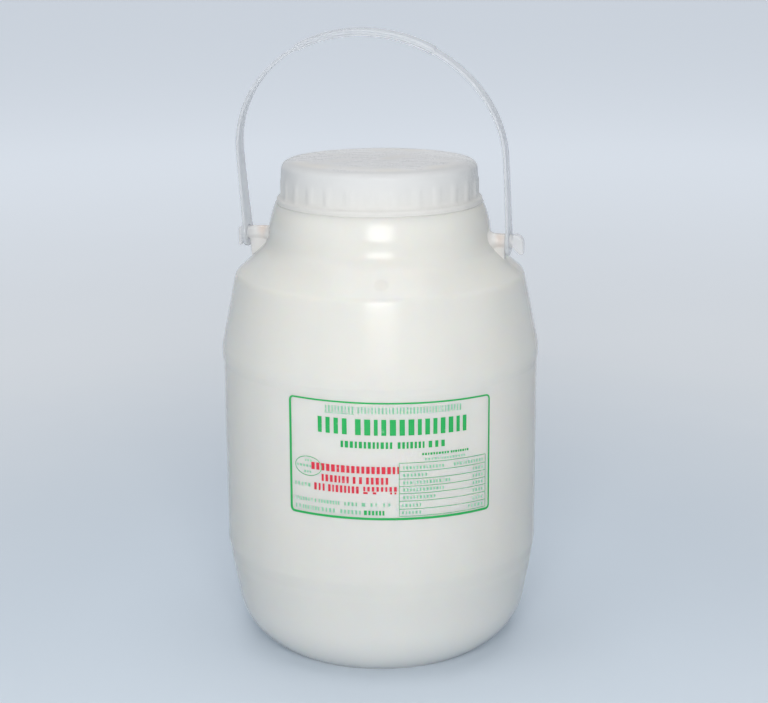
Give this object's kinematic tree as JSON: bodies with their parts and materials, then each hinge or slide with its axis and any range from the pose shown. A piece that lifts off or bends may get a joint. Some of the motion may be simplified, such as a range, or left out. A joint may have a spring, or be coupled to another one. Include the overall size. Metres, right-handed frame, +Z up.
{
  "type": "plastic milk jug",
  "caption": "Translucent white milk jug with a wide ribbed cap and a strap handle that swings on side lugs.",
  "frame": {"origin": "centre of the jug's base, on the surface it stands on", "axes": "+Z up along the jug's axis; X along the handle's pivots; the print faces -Y, turned a little towards +X"},
  "size_m": [0.132, 0.132, 0.2571],
  "materials": {
    "bottle_plastic": "satin, translucent",
    "milk": "liquid",
    "cap_plastic": "satin, translucent",
    "handle_plastic": "satin, nearly clear"
  },
  "bodies": {
    "jug": {"bottle": "bottle_plastic", "milk": "milk", "cap": "cap_plastic"},
    "bail": {"handle": "handle_plastic"}
  },
  "joints": [
    {"name": "handle_swing", "type": "hinge", "parent": "jug", "child": "bail", "pos_m": [0, 0, 0.1716], "axis": [1, 0, 0], "range_deg": [-111, 99]}
  ]
}
